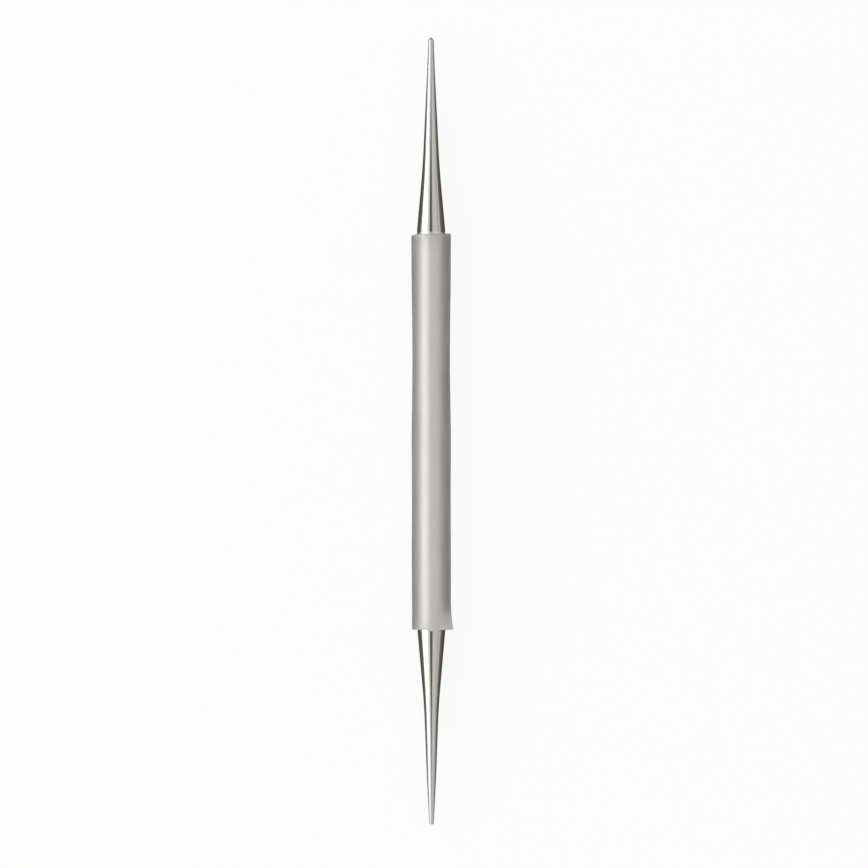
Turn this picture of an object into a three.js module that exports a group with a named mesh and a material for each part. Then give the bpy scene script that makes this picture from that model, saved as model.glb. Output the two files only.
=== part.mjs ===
// A double-ended nail-care hand tool: two polished steel points pressed into a steel core,
// with a cut length of silicone tube over the core as the grip.
// Millimetres, +Z up. The tool lies along Y with the sleeve's lowest flat on the plane Z = 0,
// and the origin is under the middle of the sleeve.
import * as THREE from "three";

// Grip sleeve
const SLEEVE_LENGTH = 70.5;
const SLEEVE_DIAMETER = 7.0;
const SLEEVE_CLEARANCE = 0.05; // sleeve bore to steel, on the radius

// Steel shank: the core and the root of each point share one diameter
const SHANK_DIAMETER = 5.0;
const SEAM_DEPTH = 2.0; // from the sleeve's mouth in to the seam between core and point
const SEAM_CHAMFER = 0.15; // broken outer edge on both sides of the seam

// Tang of each point, pressed into a socket in the end of the core
const TANG_DIAMETER = 3.0;
const TANG_LENGTH = 10.0;
const TANG_CLEARANCE = 0.05; // tang to socket, on the radius
const TANG_LEAD = 0.25; // lead-in chamfer on the tang's end and at the socket's mouth
const SOCKET_SPARE_DEPTH = 0.5; // left open past the tang's end

// Both points: a root taper and a slimmer needle taper, blended where they meet at the knee
const KNEE_REACH = 11.5; // from the sleeve's mouth out to the knee
const KNEE_DIAMETER = 3.0;
const KNEE_BLEND = 4.0; // length of the blend on each side of the knee

// Upper point: a blunt tip with a full round
const UPPER_REACH = 34.75; // from the sleeve's mouth out to the tip
const UPPER_TIP_DIAMETER = 1.0;
const UPPER_TIP_ROUND = 0.45;

// Lower point: a finer tip, cut square with a small round on its edge
const LOWER_REACH = 34.75;
const LOWER_TIP_DIAMETER = 0.8;
const LOWER_TIP_ROUND = 0.12;

// Facets: flats face straight up, down and sideways, and a diameter is measured across flats
const ROUND_SIDES = 24;
const CURVE_STEPS = 6;
const FLAT_HALF_ANGLE = Math.PI / ROUND_SIDES;

const STEEL_COLOUR = 0xb9b6b1;
const SILICONE_COLOUR = 0xb2b0ac;

const sleeveRadius = SLEEVE_DIAMETER / 2;
const shankRadius = SHANK_DIAMETER / 2;
const tangRadius = TANG_DIAMETER / 2;
const mouthY = SLEEVE_LENGTH / 2;
const seamY = mouthY - SEAM_DEPTH;

function polishedSteel(roughness) {
  return new THREE.MeshStandardMaterial({ color: STEEL_COLOUR, roughness, metalness: 1 });
}

function satinSilicone() {
  return new THREE.MeshStandardMaterial({ color: SILICONE_COLOUR, roughness: 0.55, metalness: 0 });
}

// Turns an outline of (radius, y) points about the Y axis.
function turned(name, outline, material) {
  const corners = outline.map((p) => new THREE.Vector2(p.x / Math.cos(FLAT_HALF_ANGLE), p.y));
  const geometry = new THREE.LatheGeometry(corners, ROUND_SIDES, FLAT_HALF_ANGLE);
  const mesh = new THREE.Mesh(geometry, material);
  mesh.name = name;
  return mesh;
}

// Where the straight line from one (radius, y) point to another passes a given y.
function radiusOnLine(from, to, y) {
  return from.x + ((to.x - from.x) * (y - from.y)) / (to.y - from.y);
}

// Half outline of a point, from the end of its tang out to its tip.
function pointOutline(reach, tipDiameter, tipRound) {
  const tangEndY = seamY - TANG_LENGTH;
  const root = new THREE.Vector2(shankRadius, mouthY);
  const knee = new THREE.Vector2(KNEE_DIAMETER / 2, mouthY + KNEE_REACH);
  const tip = new THREE.Vector2(tipDiameter / 2, mouthY + reach);
  const blendStartY = knee.y - KNEE_BLEND;
  const blendEndY = knee.y + KNEE_BLEND;
  const roundStartY = tip.y - tipRound;
  const path = new THREE.Path();
  path.moveTo(0, tangEndY);
  path.lineTo(tangRadius - TANG_LEAD, tangEndY);
  path.lineTo(tangRadius, tangEndY + TANG_LEAD);
  path.lineTo(tangRadius, seamY);
  path.lineTo(shankRadius - SEAM_CHAMFER, seamY);
  path.lineTo(shankRadius, seamY + SEAM_CHAMFER);
  path.lineTo(root.x, root.y);
  path.lineTo(radiusOnLine(root, knee, blendStartY), blendStartY);
  path.quadraticCurveTo(knee.x, knee.y, radiusOnLine(knee, tip, blendEndY), blendEndY);
  path.lineTo(tip.x, roundStartY);
  path.quadraticCurveTo(tip.x, tip.y, tip.x - tipRound, tip.y);
  path.lineTo(0, tip.y);
  return path.getPoints(CURVE_STEPS);
}

// Half outline of the core: a bar with a socket in each end, from one socket's floor to the other's.
function coreOutline() {
  const socketRadius = tangRadius + TANG_CLEARANCE;
  const floorY = seamY - TANG_LENGTH - SOCKET_SPARE_DEPTH;
  const path = new THREE.Path();
  path.moveTo(0, -floorY);
  path.lineTo(socketRadius, -floorY);
  path.lineTo(socketRadius, -seamY + TANG_LEAD);
  path.lineTo(socketRadius + TANG_LEAD, -seamY);
  path.lineTo(shankRadius - SEAM_CHAMFER, -seamY);
  path.lineTo(shankRadius, -seamY + SEAM_CHAMFER);
  path.lineTo(shankRadius, seamY - SEAM_CHAMFER);
  path.lineTo(shankRadius - SEAM_CHAMFER, seamY);
  path.lineTo(socketRadius + TANG_LEAD, seamY);
  path.lineTo(socketRadius, seamY - TANG_LEAD);
  path.lineTo(socketRadius, floorY);
  path.lineTo(0, floorY);
  return path.getPoints(CURVE_STEPS);
}

// Outline of the sleeve's wall, closed on itself.
function sleeveOutline() {
  const boreRadius = shankRadius + SLEEVE_CLEARANCE;
  const path = new THREE.Path();
  path.moveTo(sleeveRadius, -mouthY);
  path.lineTo(sleeveRadius, mouthY);
  path.lineTo(boreRadius, mouthY);
  path.lineTo(boreRadius, -mouthY);
  path.lineTo(sleeveRadius, -mouthY);
  return path.getPoints(CURVE_STEPS);
}

const coreRod = turned("core_rod", coreOutline(), polishedSteel(0.25));

const upperOutline = pointOutline(UPPER_REACH, UPPER_TIP_DIAMETER, UPPER_TIP_ROUND);
const upperPoint = turned("upper_point", upperOutline, polishedSteel(0.12));

const lowerOutline = pointOutline(LOWER_REACH, LOWER_TIP_DIAMETER, LOWER_TIP_ROUND);
const lowerPoint = turned("lower_point", lowerOutline, polishedSteel(0.12));
lowerPoint.rotation.z = Math.PI;

const gripSleeve = turned("grip_sleeve", sleeveOutline(), satinSilicone());

const tool = new THREE.Group();
tool.add(coreRod, upperPoint, lowerPoint, gripSleeve);
tool.position.z = sleeveRadius;

export default tool;
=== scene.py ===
"""Looks of a double-ended cuticle tool: polished steel points, a steel core and a satin silicone sleeve.

The tool lies along Y on a pale floor, upper point towards +Y, and the camera looks straight down on it.
Every length here is in metres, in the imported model's own frame.
"""

import math

import bmesh
import bpy
from mathutils import Matrix, Vector


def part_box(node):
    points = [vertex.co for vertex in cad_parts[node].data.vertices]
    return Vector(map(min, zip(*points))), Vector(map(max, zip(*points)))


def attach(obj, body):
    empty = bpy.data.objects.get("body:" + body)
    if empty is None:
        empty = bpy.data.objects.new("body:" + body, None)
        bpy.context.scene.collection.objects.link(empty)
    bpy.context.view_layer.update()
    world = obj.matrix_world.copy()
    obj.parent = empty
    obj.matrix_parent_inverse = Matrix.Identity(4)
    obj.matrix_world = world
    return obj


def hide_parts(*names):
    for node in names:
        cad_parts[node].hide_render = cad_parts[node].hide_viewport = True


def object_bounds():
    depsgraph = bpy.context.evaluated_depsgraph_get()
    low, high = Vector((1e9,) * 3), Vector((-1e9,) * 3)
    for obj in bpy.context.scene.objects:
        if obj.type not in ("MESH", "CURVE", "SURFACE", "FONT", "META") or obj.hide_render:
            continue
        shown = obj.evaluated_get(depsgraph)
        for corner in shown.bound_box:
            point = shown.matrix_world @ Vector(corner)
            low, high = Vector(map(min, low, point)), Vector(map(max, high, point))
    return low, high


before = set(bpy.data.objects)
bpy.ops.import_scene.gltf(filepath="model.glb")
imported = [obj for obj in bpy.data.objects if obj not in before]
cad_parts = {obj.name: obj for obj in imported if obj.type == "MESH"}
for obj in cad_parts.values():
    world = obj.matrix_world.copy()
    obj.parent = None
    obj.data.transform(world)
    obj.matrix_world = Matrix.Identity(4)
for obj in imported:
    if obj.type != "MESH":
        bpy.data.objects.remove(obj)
cad_low, cad_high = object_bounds()

MM = 0.001
TOOL_AXIS = (0, 1, 0)
UPRIGHT = (0, 0, 1)

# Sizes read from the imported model
sleeve_low, sleeve_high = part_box("grip_sleeve")
core_low, core_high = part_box("core_rod")
upper_low, upper_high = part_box("upper_point")
lower_low, lower_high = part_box("lower_point")
AXIS_Z = (sleeve_low.z + sleeve_high.z) / 2
SLEEVE_RADIUS = (sleeve_high.x - sleeve_low.x) / 2
SHANK_RADIUS = (core_high.x - core_low.x) / 2
MOUTH_Y = sleeve_high.y
SEAM_Y = core_high.y

# Fits and edges inside the sleeve: the fits as in the solids, the broken edge at the seam finer
SLEEVE_CLEARANCE = 0.05 * MM
TANG_RADIUS = 1.5 * MM
TANG_CLEARANCE = 0.05 * MM
TANG_LEAD = 0.25 * MM
SOCKET_SPARE_DEPTH = 0.5 * MM
SEAM_CHAMFER = 0.05 * MM

# The points, with reaches from the sleeve's mouth: the upper nose is rounded, the lower one nearly square
KNEE_BLEND = 3.0 * MM
NECK_BLEND = 1.5 * MM
UPPER_SHAPE = {
    "shank_reach": 0.6 * MM,
    "knee_reach": 11.5 * MM,
    "knee_radius": 1.51 * MM,
    "neck_reach": 31.0 * MM,
    "neck_radius": 0.58 * MM,
    "tip_radius": 0.5 * MM,
    "nose_length": 0.47 * MM,
    "nose_radius": 0.14 * MM,
    "nose_round": 0.12 * MM,
}
LOWER_SHAPE = {
    "shank_reach": 0.1 * MM,
    "knee_reach": 13.6 * MM,
    "knee_radius": 1.3 * MM,
    "neck_reach": 27.0 * MM,
    "neck_radius": 0.8 * MM,
    "tip_radius": 0.39 * MM,
    "nose_length": 0.06 * MM,
    "nose_radius": 0.33 * MM,
    "nose_round": 0.02 * MM,
}

# The sleeve's soft shape: belled top end, two hollows, thinner low end, and a lip that lifts off the steel
BELL_SWELL = 0.02 * MM
BELL_LENGTH = 8.0 * MM
WAIST_Y = 13.5 * MM
WAIST_DEPTH = 0.155 * MM
WAIST_SPREAD = 17.0 * MM
LOW_HOLLOW_Y = -13.0 * MM
LOW_HOLLOW_DEPTH = 0.055 * MM
LOW_HOLLOW_SPREAD = 12.0 * MM
LOW_END_THINNING = 0.05 * MM
LOW_END_LENGTH = 16.0 * MM
LIP_LIFT = 0.46 * MM
LIP_LENGTH = 4.6 * MM
LIP_CURVE = 1.5
LIP_SIDE = math.radians(8)

# The sleeve's hand-cut ends: a slanting top cut, and a low cut with a small tongue on its upper side
TOP_CUT_BACK = 0.38 * MM
TOP_CUT_SLANT = 0.12 * MM
LOW_CUT_PROUD = 0.1 * MM
LOW_CUT_BACK = 0.22 * MM
TONGUE_LENGTH = 0.32 * MM
TONGUE_SIDE = math.radians(81)
TONGUE_SPREAD = math.radians(26)
CUT_FADE = 5.0 * MM
CUT_EDGE_ROUND = 0.1 * MM
CUT_FACE_TILT = 0.9

# Waves round each cut: how many to the turn, the angle that they start at, and their height
TOP_CUT_WAVES = [(3, 0.6, 0.03 * MM), (8, 0.0, 0.015 * MM)]
LOW_CUT_WAVES = [(2, 1.1, 0.03 * MM), (7, 0.0, 0.015 * MM)]

# Fineness of the meshes
STEEL_STEPS = 112
SLEEVE_STEPS = 128
FLOOR_STEPS = 64
RING_SPACING = 0.8 * MM
KNEE_SEGMENTS = 10
NECK_SEGMENTS = 4
NOSE_SEGMENTS = 4
SEAM_SEGMENTS = 2
LEAD_SEGMENTS = 1
OUTER_RIM_SEGMENTS = 3
INNER_RIM_SEGMENTS = 2
SAME_PLACE = 1e-6
MERGE_DISTANCE = 1e-7

# Polished steel of the points, whose needles are ground finer and whiter from one place to the tips
POLISHED_DARK = (0.60, 0.578, 0.545, 1)
POLISHED_PALE = (0.64, 0.622, 0.592, 1)
POLISHED_ROUGHNESS = (0.09, 0.17)
GROUND_NEEDLE_Y = 44.0 * MM
GROUND_NEEDLE_TONE = (0.70, 0.698, 0.69, 1)
GROUND_NEEDLE_HAZE = 0.34

# Ground steel of the core, and of the points where the sleeve hides them
GROUND_DARK = (0.82, 0.81, 0.792, 1)
GROUND_PALE = (0.88, 0.87, 0.852, 1)
GROUND_ROUGHNESS = (0.25, 0.33)

# Frosted silicone of the sleeve, less clear in flecks near the cut rims, and less clear where the lip
# stands off the steel, which paints the lip paler as painted light
SILICONE_IOR = 1.41
SILICONE_DARK = (0.975, 0.97, 0.958, 1)
SILICONE_PALE = (1.0, 0.995, 0.985, 1)
SILICONE_ROUGHNESS = (0.62, 0.72)
SLEEVE_CLEARNESS = 0.93
PAINTED_PALE_LIP_CLEARNESS = 0.4
PAINTED_PALE_LIP_SHARE = 0.45
MILKY_RIM = 1.0 * MM
FLECK_RANGE = (0.42, 0.6)
FLECK_CLEARNESS = 0.68
TEAR_HEIGHT = 80.0

# Silicone of the cut ends
CUT_DARK = (0.56, 0.55, 0.53, 1)
CUT_PALE = (0.70, 0.69, 0.67, 1)
CUT_ROUGHNESS = (0.6, 0.8)

# Grain of the finishes: how many grains to the metre along X, Y and Z
POLISH_PATCHES = (420, 420, 420)
POLISH_RINGS = (120, 5200, 120)
GRINDING_RINGS = (200, 4200, 200)
SKIN_MOTTLE = (260, 260, 260)
SKIN_GRAIN = (5200, 5200, 5200)
DRAWN_LINES = (1500, 40, 1500)
RIM_TEARS = (1900, 1900, 1900)
CUT_TEARS = (3800, 3800, 3800)

# Bump of the finishes: its strength and its depth
POLISH_BUMP = (0.035, 0.02 * MM)
GRINDING_BUMP = (0.04, 0.02 * MM)
SKIN_BUMP = (0.06, 0.03 * MM)
CUT_BUMP = (0.3, 0.04 * MM)

# The photograph's frame, and the tool's middle in it
PHOTO_PIXELS = 868
TOOL_PIXELS = 786.7
TOOL_CENTRE_PIXEL = (431.25, 430.85)
TOOL_LEAN = math.radians(0.04)
CAMERA_DISTANCE = 0.45
CAMERA_NEAREST = 0.01
SENSOR_WIDTH = 36.0

# Lights: angles are in degrees from straight up, below zero to the tool's left
LIGHT_DISTANCE = 1.4
LIGHT_LENGTH = 3.2
KEY_COLOUR = (1.0, 1.0, 1.0)
KEY_LOW_RADIANCE = 1.58
KEY_LOW_ANGLES = (-83, -30)
KEY_TOP_RADIANCE = 0.84
KEY_TOP_ANGLES = (-30, -13)
FILL_COLOUR = (1.0, 0.978, 0.945)
FILL_TOP_RADIANCE = 0.665
FILL_TOP_ANGLES = (10, 51)
FILL_LOW_RADIANCE = 0.49
FILL_LOW_ANGLES = (51, 81)
ROOM_RADIANCE = 0.15

# Floor, flat and then swept up to a low rim: its radius and height from the middle outwards
FLOOR_SWEEP = [(0, 0), (4.8, 0), (5.6, 0.12), (5.94, 0.5), (6.0, 1.2)]
FLOOR_COLOUR = (0.9, 0.9, 0.9, 1)
FLOOR_GLOW = 0.92
WHITE_STRENGTH = 1.0
PAPER_ROUGHNESS = 0.9
PAPER_SHINE = 0.1

# Dark cards beside the tool, seen only in reflections, where they paint dark reflections on the steel's
# edges: flat from near its axis to a bend, then rising to a rim
PAINTED_REFLECTION_NEAR_COLOUR = (0.14, 0.137, 0.133, 1)
PAINTED_REFLECTION_FAR_COLOUR = (0.27, 0.267, 0.26, 1)
PAINTED_REFLECTION_DARK_SLOPE = 0.35
CARD_NEAR_LENGTH = 0.32
CARD_FAR_LENGTH = 0.4
CARD_HEIGHT = 0.3 * MM
CARD_INNER = 0.5 * MM
CARD_BEND = 0.17
CARD_RIM = 0.3
LEFT_RIM_ANGLE = math.radians(4)
RIGHT_RIM_ANGLE = math.radians(9.5)


# Ways of making a mesh

def turned(corners, axis, steps, closed=False):
    """A bmesh of corners joined in a line, or in a loop, and turned once round an axis."""
    bm = bmesh.new()
    starts = [bm.verts.new(corner) for corner in corners]
    ends = starts[1:] + starts[:1] if closed else starts[1:]
    edges = [bm.edges.new(pair) for pair in zip(starts, ends)]
    bmesh.ops.spin(
        bm,
        geom=starts + edges,
        cent=(0, 0, 0),
        axis=axis,
        dvec=(0, 0, 0),
        angle=math.tau,
        steps=steps,
        use_merge=True,
    )
    bmesh.ops.remove_doubles(bm, verts=bm.verts, dist=MERGE_DISTANCE)
    bmesh.ops.recalc_face_normals(bm, faces=bm.faces)
    return bm


def turned_on_tool_axis(outline, steps, closed=False):
    """A bmesh of (radius, y) corners turned round the tool's axis."""
    return turned([(radius, y, 0) for radius, y in outline], TOOL_AXIS, steps, closed)


def ring_edges(bm, radius, y):
    """The edges of the circle at that radius and place along the axis."""

    def on_ring(vertex):
        off_radius = abs(math.hypot(vertex.co.x, vertex.co.z) - radius)
        return abs(vertex.co.y - y) < SAME_PLACE and off_radius < SAME_PLACE

    return [edge for edge in bm.edges if all(on_ring(vertex) for vertex in edge.verts)]


def round_ring(bm, radius, y, size, segments):
    """Bevels the circle at that radius and place along the axis."""
    bmesh.ops.bevel(
        bm,
        geom=ring_edges(bm, radius, y),
        offset=size,
        offset_type="OFFSET",
        segments=segments,
        profile=0.5,
        affect="EDGES",
        material=-1,
        clamp_overlap=True,
    )


def add_rings(bm, spacing):
    """Cuts the edges along the axis in halves until none is longer than the spacing."""
    while True:
        long_edges = [
            edge for edge in bm.edges if abs(edge.verts[0].co.y - edge.verts[1].co.y) > spacing
        ]
        if not long_edges:
            return
        bmesh.ops.subdivide_edges(bm, edges=long_edges, cuts=1, use_grid_fill=True)


def smooth_object(name, bm, *materials):
    """The bmesh as a smooth object in the scene, with its materials."""
    mesh = bpy.data.meshes.new(name)
    bm.to_mesh(mesh)
    bm.free()
    mesh.shade_smooth()
    for material in materials:
        mesh.materials.append(material)
    made = bpy.data.objects.new(name, mesh)
    bpy.context.scene.collection.objects.link(made)
    return made


def finished(name, bm, body, node, slot, *materials):
    """The bmesh as a piece on the tool's axis, riding on its body in place of its solid."""
    bmesh.ops.translate(bm, verts=bm.verts, vec=(0, 0, AXIS_Z))
    bmesh.ops.recalc_face_normals(bm, faces=bm.faces)
    piece = smooth_object(name, bm, *materials)
    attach(piece, body)
    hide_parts(node)


# Steel pieces

def point_bmesh(tang_end, tip, shape):
    """A turned point along +Y: tang, shoulder, shank, root taper, knee, needle taper, neck and nose.

    What lies inside the sleeve takes the second material, because it is ground and not polished.
    """
    shank_y = MOUTH_Y + shape["shank_reach"]
    knee_y = MOUTH_Y + shape["knee_reach"]
    neck_y = MOUTH_Y + shape["neck_reach"]
    nose_y = tip - shape["nose_length"]
    outline = [
        (0, tang_end),
        (TANG_RADIUS, tang_end),
        (TANG_RADIUS, SEAM_Y),
        (SHANK_RADIUS, SEAM_Y),
        (SHANK_RADIUS, MOUTH_Y),
        (SHANK_RADIUS, shank_y),
        (shape["knee_radius"], knee_y),
        (shape["neck_radius"], neck_y),
        (shape["tip_radius"], nose_y),
        (shape["nose_radius"], tip),
        (0, tip),
    ]
    bm = turned_on_tool_axis(outline, STEEL_STEPS)
    round_ring(bm, shape["knee_radius"], knee_y, KNEE_BLEND, KNEE_SEGMENTS)
    round_ring(bm, shape["neck_radius"], neck_y, NECK_BLEND, NECK_SEGMENTS)
    add_rings(bm, RING_SPACING)
    round_ring(bm, TANG_RADIUS, tang_end, TANG_LEAD, LEAD_SEGMENTS)
    round_ring(bm, SHANK_RADIUS, SEAM_Y, SEAM_CHAMFER, SEAM_SEGMENTS)
    round_ring(bm, shape["tip_radius"], nose_y, shape["nose_round"], NOSE_SEGMENTS)
    round_ring(bm, shape["nose_radius"], tip, shape["nose_round"], NOSE_SEGMENTS)
    for face in bm.faces:
        in_sleeve = face.calc_center_median().y < MOUTH_Y
        face.material_index = 1 if in_sleeve else 0
    return bm


def upper_point(polished, ground):
    """The point at the photograph's top, with a rounded nose."""
    bm = point_bmesh(upper_low.y, upper_high.y, UPPER_SHAPE)
    finished("upper_steel_point", bm, "steel", "upper_point", "point_steel", polished, ground)


def lower_point(polished, ground):
    """The point at the photograph's bottom, with a nose cut nearly square."""
    bm = point_bmesh(-lower_high.y, -lower_low.y, LOWER_SHAPE)
    half_turn = Matrix.Rotation(math.pi, 3, "Z")
    bmesh.ops.rotate(bm, verts=bm.verts, cent=(0, 0, 0), matrix=half_turn)
    finished("lower_steel_point", bm, "steel", "lower_point", "point_steel", polished, ground)


def core_rod(ground):
    """The core: a bar with a socket in each end for a point's tang."""
    socket_radius = TANG_RADIUS + TANG_CLEARANCE
    floor_y = upper_low.y - SOCKET_SPARE_DEPTH
    outline = [
        (0, -floor_y),
        (socket_radius, -floor_y),
        (socket_radius, -SEAM_Y),
        (SHANK_RADIUS, -SEAM_Y),
        (SHANK_RADIUS, SEAM_Y),
        (socket_radius, SEAM_Y),
        (socket_radius, floor_y),
        (0, floor_y),
    ]
    bm = turned_on_tool_axis(outline, STEEL_STEPS)
    add_rings(bm, RING_SPACING)
    for end_y in (-SEAM_Y, SEAM_Y):
        round_ring(bm, SHANK_RADIUS, end_y, SEAM_CHAMFER, SEAM_SEGMENTS)
        round_ring(bm, socket_radius, end_y, TANG_LEAD, LEAD_SEGMENTS)
    finished("steel_core", bm, "steel", "core_rod", "core_steel", ground)


# Silicone sleeve

def bump_shape(distance, spread):
    """1 in the middle, easing to 0 as the distance reaches the spread."""
    share = min(1, abs(distance) / spread)
    return (1 + math.cos(math.pi * share)) / 2


def wall_shift(y, angle):
    """How far the sleeve's outer wall stands out at that place, and how far its whole wall lifts."""
    outer = BELL_SWELL * bump_shape(MOUTH_Y - y, BELL_LENGTH)
    outer -= WAIST_DEPTH * bump_shape(y - WAIST_Y, WAIST_SPREAD)
    outer -= LOW_HOLLOW_DEPTH * bump_shape(y - LOW_HOLLOW_Y, LOW_HOLLOW_SPREAD)
    outer -= LOW_END_THINNING * bump_shape(y + MOUTH_Y, LOW_END_LENGTH)
    along_lip = max(0, 1 - (y + MOUTH_Y) / LIP_LENGTH)
    towards_lip = max(0, math.cos(angle - LIP_SIDE))
    lift = LIP_LIFT * along_lip ** LIP_CURVE * towards_lip ** 2
    return outer, lift


def cut_wave(waves, angle):
    """The sum of the waves of a hand cut at that angle round it."""
    return sum(height * math.sin(count * angle + start) for count, start, height in waves)


def cut_shift(y, angle):
    """How far the hand-cut ends stand off a square cut, fading out away from the ends."""
    top = bump_shape(MOUTH_Y - y, CUT_FADE)
    low = bump_shape(y + MOUTH_Y, CUT_FADE)
    top_cut = TOP_CUT_SLANT * math.cos(angle) - TOP_CUT_BACK
    low_cut = LOW_CUT_BACK * max(0, math.sin(angle)) ** 2 - LOW_CUT_PROUD
    low_cut -= TONGUE_LENGTH * bump_shape(angle - TONGUE_SIDE, TONGUE_SPREAD)
    top_cut += cut_wave(TOP_CUT_WAVES, angle)
    low_cut += cut_wave(LOW_CUT_WAVES, angle)
    return top * top_cut + low * low_cut


def soften_tube(bm, bore_radius):
    """Gives a straight tube the sleeve's soft shape and hand-cut ends, and keeps it above the floor.

    Two attributes tell the silicone's finish how far the wall has lifted and how near a cut rim is.
    """
    middle_radius = (SLEEVE_RADIUS + bore_radius) / 2
    lifted = bm.verts.layers.float.new("lifted")
    cut_rim = bm.verts.layers.float.new("cut_rim")
    for vertex in bm.verts:
        radius = math.hypot(vertex.co.x, vertex.co.z)
        angle = math.atan2(vertex.co.z, vertex.co.x)
        outer, lift = wall_shift(vertex.co.y, angle)
        outwards = lift + (outer if radius > middle_radius else 0)
        along = cut_shift(vertex.co.y, angle)
        vertex[lifted] = lift / LIP_LIFT
        vertex[cut_rim] = bump_shape(MOUTH_Y - abs(vertex.co.y), MILKY_RIM)
        vertex.co.x *= (radius + outwards) / radius
        vertex.co.z *= (radius + outwards) / radius
        vertex.co.z = max(vertex.co.z, -AXIS_Z)
        vertex.co.y += along


def grip_sleeve(silicone, cut_face):
    """The silicone tube, whose cut ends take the second material."""
    bore_radius = SHANK_RADIUS + SLEEVE_CLEARANCE
    outline = [
        (bore_radius, -MOUTH_Y),
        (SLEEVE_RADIUS, -MOUTH_Y),
        (SLEEVE_RADIUS, MOUTH_Y),
        (bore_radius, MOUTH_Y),
    ]
    bm = turned_on_tool_axis(outline, SLEEVE_STEPS, closed=True)
    add_rings(bm, RING_SPACING)
    for face in bm.faces:
        is_cut = abs(face.normal.y) > CUT_FACE_TILT
        face.material_index = 1 if is_cut else 0
    for end_y in (-MOUTH_Y, MOUTH_Y):
        round_ring(bm, SLEEVE_RADIUS, end_y, CUT_EDGE_ROUND, OUTER_RIM_SEGMENTS)
        round_ring(bm, bore_radius, end_y, CUT_EDGE_ROUND, INNER_RIM_SEGMENTS)
    soften_tube(bm, bore_radius)
    finished("silicone_sleeve", bm, "sleeve", "grip_sleeve", "silicone", silicone, cut_face)


# Materials

class Surface:
    """A material with one Principled shader, and a short way to make each kind of node that it needs."""

    def __init__(self, name):
        self.material = bpy.data.materials.new(name)
        self.material.use_nodes = True
        self.nodes = self.material.node_tree.nodes
        self.shader = self.nodes["Principled BSDF"]

    def feed(self, node, values):
        """Sets each named input to its number or colour, or links it to another node's output."""
        for name, value in values.items():
            if isinstance(value, bpy.types.NodeSocket):
                self.material.node_tree.links.new(value, node.inputs[name])
            else:
                node.inputs[name].default_value = value

    def place(self):
        """The place on the piece, in metres."""
        return self.nodes.new("ShaderNodeTexCoord").outputs["Object"]

    def place_along(self, axis):
        """The place on the piece along one axis."""
        split = self.nodes.new("ShaderNodeSeparateXYZ")
        self.feed(split, {"Vector": self.place()})
        return split.outputs[axis]

    def attribute(self, name):
        """A number that the piece's mesh carries at each vertex."""
        read = self.nodes.new("ShaderNodeAttribute")
        read.attribute_name = name
        return read.outputs["Fac"]

    def noise(self, grains, detail, roughness=0.5):
        """Noise with so many grains to the metre along each axis."""
        stretched = self.nodes.new("ShaderNodeMapping")
        self.feed(stretched, {"Vector": self.place(), "Scale": grains})
        cloud = self.nodes.new("ShaderNodeTexNoise")
        self.feed(cloud, {"Vector": stretched.outputs["Vector"], "Scale": 1})
        self.feed(cloud, {"Detail": detail, "Roughness": roughness})
        return cloud.outputs["Fac"]

    def spread(self, value, low, high, start=0, end=1):
        """A value that runs from start to end, spread over low to high and held there."""
        ranges = self.nodes.new("ShaderNodeMapRange")
        self.feed(ranges, {"Value": value, "From Min": start, "From Max": end})
        self.feed(ranges, {"To Min": low, "To Max": high})
        return ranges.outputs["Result"]

    def maths(self, operation, *values):
        """The result of a sum on numbers or other nodes' outputs."""
        sums = self.nodes.new("ShaderNodeMath")
        sums.operation = operation
        self.feed(sums, dict(enumerate(values)))
        return sums.outputs["Value"]

    def blend(self, share, first, second):
        """The first colour where the share is 0, and the second where it is 1."""
        mix = self.nodes.new("ShaderNodeMix")
        mix.data_type = "RGBA"
        self.feed(mix, {"Factor": share, "A": first, "B": second})
        return mix.outputs["Result"]

    def bump(self, height, strength, depth):
        """The surface's direction, bent by a height."""
        bend = self.nodes.new("ShaderNodeBump")
        self.feed(bend, {"Height": height, "Strength": strength, "Distance": depth})
        return bend.outputs["Normal"]


def polished_steel():
    """Bright turned steel with faint polishing rings and hazier patches, whiter and softer to the tips."""
    steel = Surface("polished_steel")
    patches = steel.noise(POLISH_PATCHES, detail=3)
    tone = steel.blend(patches, POLISHED_DARK, POLISHED_PALE)
    haze = steel.spread(patches, *POLISHED_ROUGHNESS)
    from_middle = steel.maths("ABSOLUTE", steel.place_along("Y"))
    towards_tip = steel.spread(from_middle, 0, 1, start=GROUND_NEEDLE_Y, end=cad_high.y)
    rings = steel.noise(POLISH_RINGS, detail=2)
    looks = {
        "Metallic": 1,
        "Base Color": steel.blend(towards_tip, tone, GROUND_NEEDLE_TONE),
        "Roughness": steel.maths("MULTIPLY_ADD", towards_tip, GROUND_NEEDLE_HAZE, haze),
        "Normal": steel.bump(rings, *POLISH_BUMP),
    }
    steel.feed(steel.shader, looks)
    return steel.material


def ground_steel():
    """Duller steel with the rings that grinding leaves."""
    steel = Surface("ground_steel")
    rings = steel.noise(GRINDING_RINGS, detail=4)
    looks = {
        "Metallic": 1,
        "Base Color": steel.blend(rings, GROUND_DARK, GROUND_PALE),
        "Roughness": steel.spread(rings, *GROUND_ROUGHNESS),
        "Normal": steel.bump(rings, *GRINDING_BUMP),
    }
    steel.feed(steel.shader, looks)
    return steel.material


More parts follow.
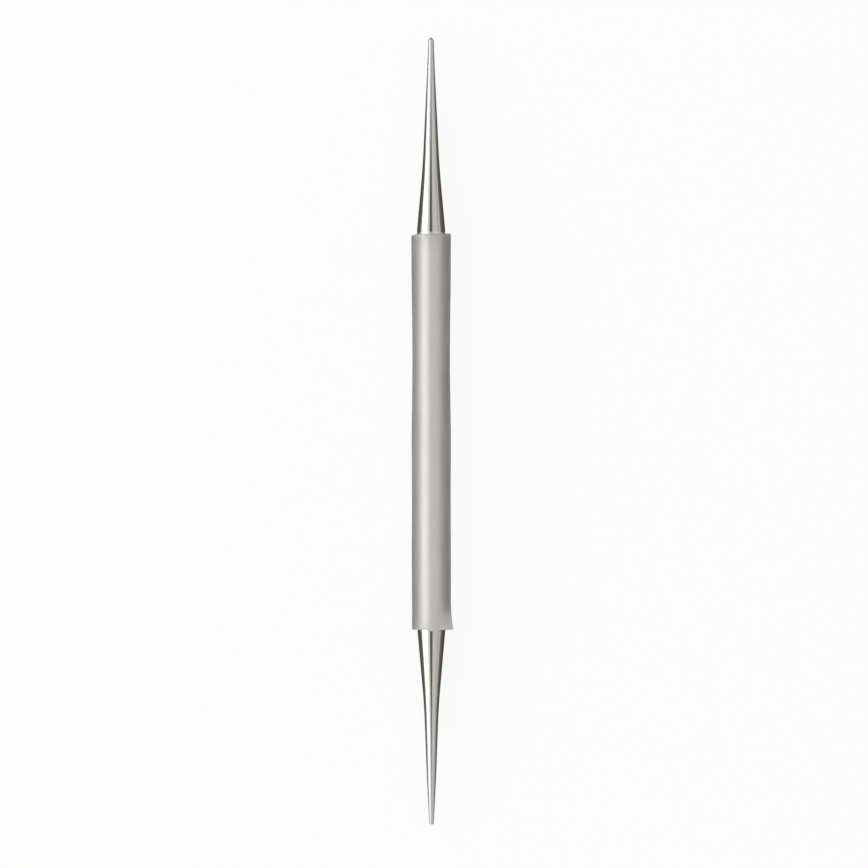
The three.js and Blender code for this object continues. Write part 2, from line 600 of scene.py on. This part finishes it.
def frosted_silicone():
    """Milky silicone with a satin skin: the steel inside gleams through it, blurred.

    The skin has faint mottling, a fine grain and lines drawn along the tube. On the lip that stands off
    the steel it is less clear, which paints the lip paler as painted light, and it is torn and flecked
    near the cut rims.
    """
    silicone = Surface("frosted_silicone")
    lifted = silicone.attribute("lifted")
    cut_rim = silicone.attribute("cut_rim")
    # Painted light: the lifted lip is made less clear, so that it shows paler
    painted_pale_clearness = silicone.spread(lifted, SLEEVE_CLEARNESS, PAINTED_PALE_LIP_CLEARNESS, end=PAINTED_PALE_LIP_SHARE)
    tears = silicone.noise(RIM_TEARS, detail=3)
    flecks = silicone.spread(tears, 0, 1, *FLECK_RANGE)
    rim_flecks = silicone.maths("MULTIPLY", flecks, cut_rim)
    rim_clearness = silicone.spread(rim_flecks, 1, FLECK_CLEARNESS)
    mottle = silicone.noise(SKIN_MOTTLE, detail=5, roughness=0.6)
    grain = silicone.noise(SKIN_GRAIN, detail=2)
    drawn = silicone.noise(DRAWN_LINES, detail=2)
    skin = silicone.maths("ADD", grain, drawn)
    rim_tears = silicone.maths("MULTIPLY", tears, cut_rim)
    torn_skin = silicone.maths("MULTIPLY_ADD", rim_tears, TEAR_HEIGHT, skin)
    looks = {
        "IOR": SILICONE_IOR,
        "Transmission Weight": silicone.maths("MULTIPLY", painted_pale_clearness, rim_clearness),
        "Base Color": silicone.blend(mottle, SILICONE_DARK, SILICONE_PALE),
        "Roughness": silicone.spread(mottle, *SILICONE_ROUGHNESS),
        "Normal": silicone.bump(torn_skin, *SKIN_BUMP),
    }
    silicone.feed(silicone.shader, looks)
    return silicone.material


def cut_silicone():
    """The sleeve's cut ends, torn by the blade and not see-through."""
    cut = Surface("cut_silicone")
    tears = cut.noise(CUT_TEARS, detail=4)
    looks = {
        "Base Color": cut.blend(tears, CUT_DARK, CUT_PALE),
        "Roughness": cut.spread(tears, *CUT_ROUGHNESS),
        "Normal": cut.bump(tears, *CUT_BUMP),
    }
    cut.feed(cut.shader, looks)
    return cut.material


def painted_reflection_card_paper():
    """Dark paper seen only in reflections and paler away from the tool, so that the painted dark
    reflection on the steel's edges is a soft one.
    """
    paper = Surface("painted_reflection_card_paper")
    distance = paper.maths("ABSOLUTE", paper.place_along("X"))
    slope = paper.maths("DIVIDE", AXIS_Z, distance)
    nearness = paper.spread(slope, 0, 1, end=PAINTED_REFLECTION_DARK_SLOPE)
    looks = {
        "Base Color": paper.blend(nearness, PAINTED_REFLECTION_FAR_COLOUR, PAINTED_REFLECTION_NEAR_COLOUR),
        "Roughness": PAPER_ROUGHNESS,
        "Specular IOR Level": PAPER_SHINE,
    }
    paper.feed(paper.shader, looks)
    return paper.material


def floor_paper():
    """Pale paper that keeps its shadow, nearer to white for the camera, gloss and clear pieces."""
    paper = Surface("floor_paper")
    looks = {
        "Base Color": FLOOR_COLOUR,
        "Roughness": PAPER_ROUGHNESS,
        "Specular IOR Level": PAPER_SHINE,
    }
    paper.feed(paper.shader, looks)
    ray = paper.nodes.new("ShaderNodeLightPath").outputs
    seen = paper.maths("ADD", ray["Is Camera Ray"], ray["Is Glossy Ray"])
    seen_through = paper.maths("ADD", seen, ray["Is Transmission Ray"])
    glow = paper.spread(seen_through, 0, FLOOR_GLOW)
    white = paper.nodes.new("ShaderNodeEmission")
    paper.feed(white, {"Strength": WHITE_STRENGTH})
    lit = paper.nodes.new("ShaderNodeMixShader")
    paper.feed(lit, {"Fac": glow, 1: paper.shader.outputs["BSDF"], 2: white.outputs["Emission"]})
    paper.feed(paper.nodes["Material Output"], {"Surface": lit.outputs["Shader"]})
    return paper.material


# Studio

def studio_floor():
    """A pale round floor that sweeps up into its own low backdrop."""
    corners = [(radius, 0, height) for radius, height in FLOOR_SWEEP]
    bm = turned(corners, UPRIGHT, FLOOR_STEPS)
    smooth_object("studio_floor", bm, floor_paper())


def reflection_only_card(name, side, rim_angle):
    """A dark card beside the tool, shaped like a studio card, that only gloss and clear pieces see.

    The steel mirrors it as a painted dark reflection on its edges, while the floor stays pale and keeps
    the tool's shadow.
    """
    rim_height = AXIS_Z + CARD_RIM * math.tan(rim_angle)
    bm = bmesh.new()
    near = bm.verts.new((side * CARD_INNER, -CARD_NEAR_LENGTH / 2, CARD_HEIGHT))
    bend = bm.verts.new((side * CARD_BEND, -CARD_FAR_LENGTH / 2, CARD_HEIGHT))
    rim = bm.verts.new((side * CARD_RIM, -CARD_FAR_LENGTH / 2, rim_height))
    edges = [bm.edges.new((near, bend)), bm.edges.new((bend, rim))]
    run = bmesh.ops.extrude_edge_only(bm, edges=edges)
    far = [item for item in run["geom"] if isinstance(item, bmesh.types.BMVert)]
    bmesh.ops.scale(bm, verts=far, vec=(1, -1, 1))
    card = smooth_object(name, bm, painted_reflection_card_paper())
    card.visible_camera = False
    card.visible_diffuse = False
    card.visible_shadow = False


def softbox(name, angles, radiance, colour):
    """A long soft light over one side of the tool, between two angles from straight up."""
    middle = math.radians(sum(angles) / 2)
    half_angle = math.radians(abs(angles[1] - angles[0]) / 2)
    lamp = bpy.data.lights.new(name, "AREA")
    lamp.shape = "RECTANGLE"
    lamp.size = 2 * LIGHT_DISTANCE * math.tan(half_angle)
    lamp.size_y = LIGHT_LENGTH
    lamp.energy = radiance * math.pi * lamp.size * lamp.size_y
    lamp.color = colour
    hung = bpy.data.objects.new(name, lamp)
    hung.location = Vector((math.sin(middle), 0, math.cos(middle))) * LIGHT_DISTANCE
    hung.rotation_euler = (0, middle, 0)
    hung.visible_camera = False
    bpy.context.scene.collection.objects.link(hung)


def room_light():
    """A dim, even light from all round."""
    world = bpy.data.worlds.new("room")
    world.use_nodes = True
    background = world.node_tree.nodes["Background"]
    background.inputs["Color"].default_value = (ROOM_RADIANCE, ROOM_RADIANCE, ROOM_RADIANCE, 1)
    bpy.context.scene.world = world


def camera():
    """Straight above the tool, framed as the photograph is."""
    pixel = (cad_high.y - cad_low.y) / TOOL_PIXELS
    lens = bpy.data.cameras.new("camera")
    lens.sensor_width = SENSOR_WIDTH
    lens.lens = SENSOR_WIDTH * CAMERA_DISTANCE / (PHOTO_PIXELS * pixel)
    lens.clip_start = CAMERA_NEAREST
    view = bpy.data.objects.new("camera", lens)
    right = (PHOTO_PIXELS / 2 - TOOL_CENTRE_PIXEL[0]) * pixel
    down = (PHOTO_PIXELS / 2 - TOOL_CENTRE_PIXEL[1]) * pixel
    view.location = (right, -down, AXIS_Z + CAMERA_DISTANCE)
    view.rotation_euler = (0, 0, -TOOL_LEAN)
    bpy.context.scene.collection.objects.link(view)
    bpy.context.scene.camera = view


# The scene, set out piece by piece

camera()
room_light()
softbox("key_low_softbox", KEY_LOW_ANGLES, KEY_LOW_RADIANCE, KEY_COLOUR)
softbox("key_top_softbox", KEY_TOP_ANGLES, KEY_TOP_RADIANCE, KEY_COLOUR)
softbox("fill_top_softbox", FILL_TOP_ANGLES, FILL_TOP_RADIANCE, FILL_COLOUR)
softbox("fill_low_softbox", FILL_LOW_ANGLES, FILL_LOW_RADIANCE, FILL_COLOUR)
studio_floor()
# Cards seen only in reflections, which paint dark reflections on the steel's edges
reflection_only_card("left_reflection_card", -1, LEFT_RIM_ANGLE)
reflection_only_card("right_reflection_card", 1, RIGHT_RIM_ANGLE)

polished = polished_steel()
ground = ground_steel()
upper_point(polished, ground)
lower_point(polished, ground)
core_rod(ground)
grip_sleeve(frosted_silicone(), cut_silicone())

bpy.context.scene.view_settings.view_transform = "Standard"
